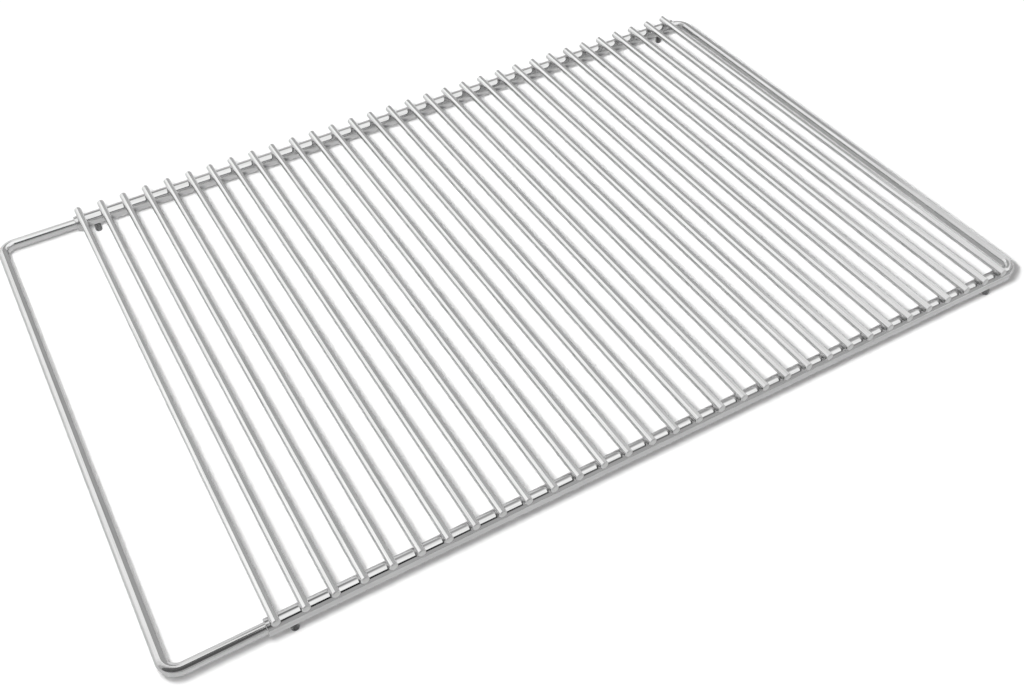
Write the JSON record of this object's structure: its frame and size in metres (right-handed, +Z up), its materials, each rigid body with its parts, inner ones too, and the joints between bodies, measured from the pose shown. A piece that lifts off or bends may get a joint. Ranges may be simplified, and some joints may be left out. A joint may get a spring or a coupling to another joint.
{
  "type": "extendable wire rack",
  "caption": "Flat grid of round steel crossbars on tube rails, with a U-shaped wire frame that slides out of each end and is clamped by set screws that double as feet.",
  "frame": {"origin": "on the resting plane under the middle of the rack, as it stands with the left frame pulled out 43 mm and the right frame pushed in", "axes": "+X along the rails from the pulled-out frame to the pushed-in one, +Y along the crossbars to the back, +Z up"},
  "size_m": [0.5934, 0.39, 0.0211],
  "materials": {
    "crossbar_steel": "electropolished stainless steel wire",
    "rail_steel": "polished stainless steel tube",
    "frame_steel": "polished stainless steel wire",
    "screw_steel": "plain stainless steel, machined"
  },
  "bodies": {
    "rack": {"crossbar_01": "crossbar_steel", "crossbar_02": "crossbar_steel", "crossbar_03": "crossbar_steel", "crossbar_04": "crossbar_steel", "crossbar_05": "crossbar_steel", "crossbar_06": "crossbar_steel", "crossbar_07": "crossbar_steel", "crossbar_08": "crossbar_steel", "crossbar_09": "crossbar_steel", "crossbar_10": "crossbar_steel", "crossbar_11": "crossbar_steel", "crossbar_12": "crossbar_steel", "crossbar_13": "crossbar_steel", "crossbar_14": "crossbar_steel", "crossbar_15": "crossbar_steel", "crossbar_16": "crossbar_steel", "crossbar_17": "crossbar_steel", "crossbar_18": "crossbar_steel", "crossbar_19": "crossbar_steel", "crossbar_20": "crossbar_steel", "crossbar_21": "crossbar_steel", "crossbar_22": "crossbar_steel", "crossbar_23": "crossbar_steel", "crossbar_24": "crossbar_steel", "crossbar_25": "crossbar_steel", "crossbar_26": "crossbar_steel", "crossbar_27": "crossbar_steel", "crossbar_28": "crossbar_steel", "crossbar_29": "crossbar_steel", "crossbar_30": "crossbar_steel", "crossbar_31": "crossbar_steel", "crossbar_32": "crossbar_steel", "front_rail": "rail_steel", "back_rail": "rail_steel"},
    "left_frame": {"left_frame": "frame_steel"},
    "right_frame": {"right_frame": "frame_steel"},
    "clamp_screw_front_left": {"clamp_screw_front_left": "screw_steel"},
    "clamp_screw_back_left": {"clamp_screw_back_left": "screw_steel"},
    "clamp_screw_front_right": {"clamp_screw_front_right": "screw_steel"},
    "clamp_screw_back_right": {"clamp_screw_back_right": "screw_steel"}
  },
  "joints": [
    {"name": "left_frame_slide", "type": "slide", "parent": "rack", "child": "left_frame", "axis": [-1, 0, 0], "range_m": [-0.043, 0.107]},
    {"name": "right_frame_slide", "type": "slide", "parent": "rack", "child": "right_frame", "axis": [1, 0, 0], "range_m": [0, 0.15]},
    {"name": "clamp_screw_front_left_turn", "type": "hinge", "parent": "rack", "child": "clamp_screw_front_left", "pos_m": [-0.227, -0.19, 0], "axis": [0, 0, -1], "range_deg": [0, 360]},
    {"name": "clamp_screw_back_left_turn", "type": "hinge", "parent": "rack", "child": "clamp_screw_back_left", "pos_m": [-0.227, 0.19, 0], "axis": [0, 0, -1], "range_deg": [0, 360]},
    {"name": "clamp_screw_front_right_turn", "type": "hinge", "parent": "rack", "child": "clamp_screw_front_right", "pos_m": [0.27, -0.19, 0], "axis": [0, 0, -1], "range_deg": [0, 360]},
    {"name": "clamp_screw_back_right_turn", "type": "hinge", "parent": "rack", "child": "clamp_screw_back_right", "pos_m": [0.27, 0.19, 0], "axis": [0, 0, -1], "range_deg": [0, 360]}
  ]
}
